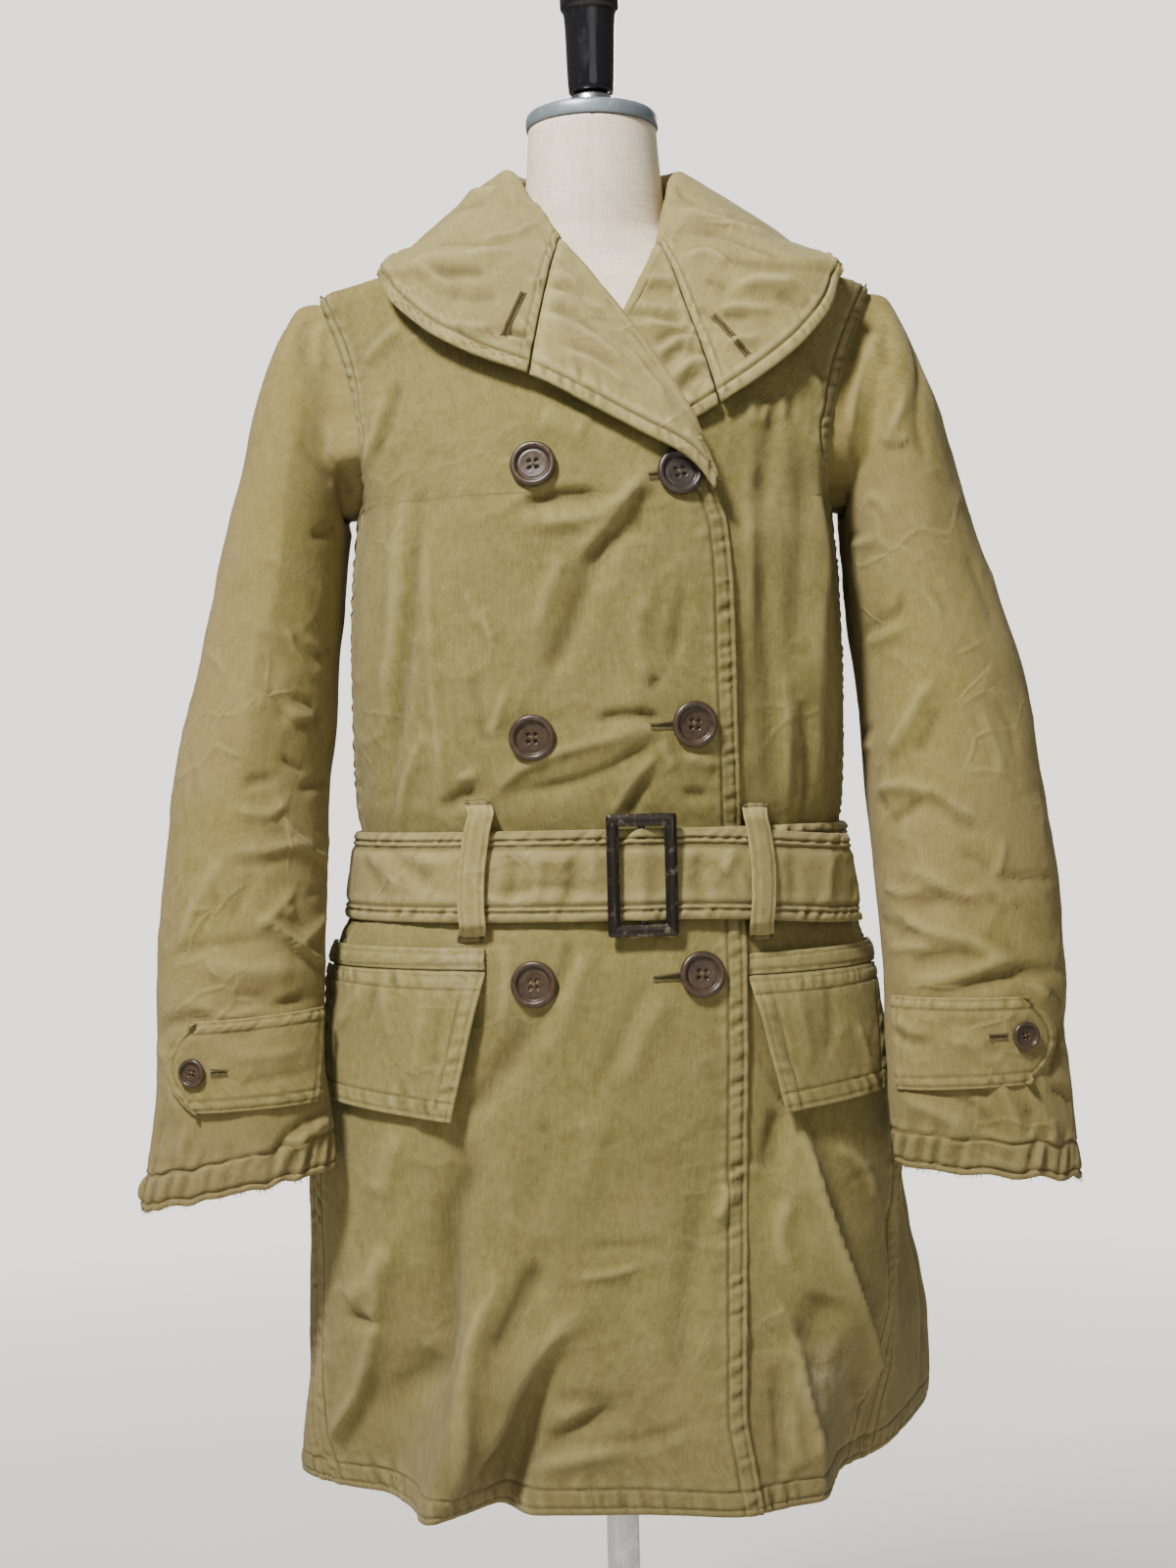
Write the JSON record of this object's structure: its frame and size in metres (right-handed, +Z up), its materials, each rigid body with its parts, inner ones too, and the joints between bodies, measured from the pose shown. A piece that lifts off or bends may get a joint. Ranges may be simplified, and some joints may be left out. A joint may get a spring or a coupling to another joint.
{
  "type": "belted mackinaw coat on a limbless dress form with a stand",
  "caption": "Khaki double-breasted mackinaw coat with a wide collar, flap pockets, cuff tabs and a buckled belt, worn on a limbless linen dress form on a round-based stand.",
  "frame": {"origin": "centre of the underside of the stand's base", "axes": "+Z up along the pole, -Y the way the coat's front faces, -X the wearer's right"},
  "size_m": [0.652, 0.41, 1.592],
  "materials": {
    "cloth": "worn khaki cotton poplin",
    "sleeve": "worn khaki cotton poplin, sun faded",
    "collar": "worn khaki cotton poplin, rubbed lighter",
    "belt": "folded and stitched khaki cotton",
    "button": "brown, polished",
    "buckle": "dark bronzed metal, rubbed at its edges",
    "linen": "beige linen",
    "plate": "grey-blue satin enamel",
    "steel": "dull polished steel",
    "handle": "black, polished",
    "base": "dark grey satin enamel"
  },
  "bodies": {
    "root": {"coat_back": "cloth", "front_right": "cloth", "front_left": "cloth", "sleeve_right": "sleeve", "sleeve_left": "sleeve", "collar": "collar", "lapel_right": "collar", "lapel_left": "collar", "flap_right": "cloth", "flap_left": "cloth", "welt_right": "cloth", "welt_left": "cloth", "belt": "belt", "belt_loop_right": "belt", "belt_loop_left": "belt", "buckle": "buckle", "cuff_tab_right": "sleeve", "cuff_tab_left": "sleeve", "button_top_right": "button", "button_top_left": "button", "button_middle_right": "button", "button_middle_left": "button", "button_low_right": "button", "button_low_left": "button", "cuff_button_right": "button", "cuff_button_left": "button", "form_torso": "linen", "neck_plate": "plate", "neck_stub": "steel", "top_handle": "handle", "stand_pole": "steel", "stand_base": "base"}
  },
  "joints": []
}
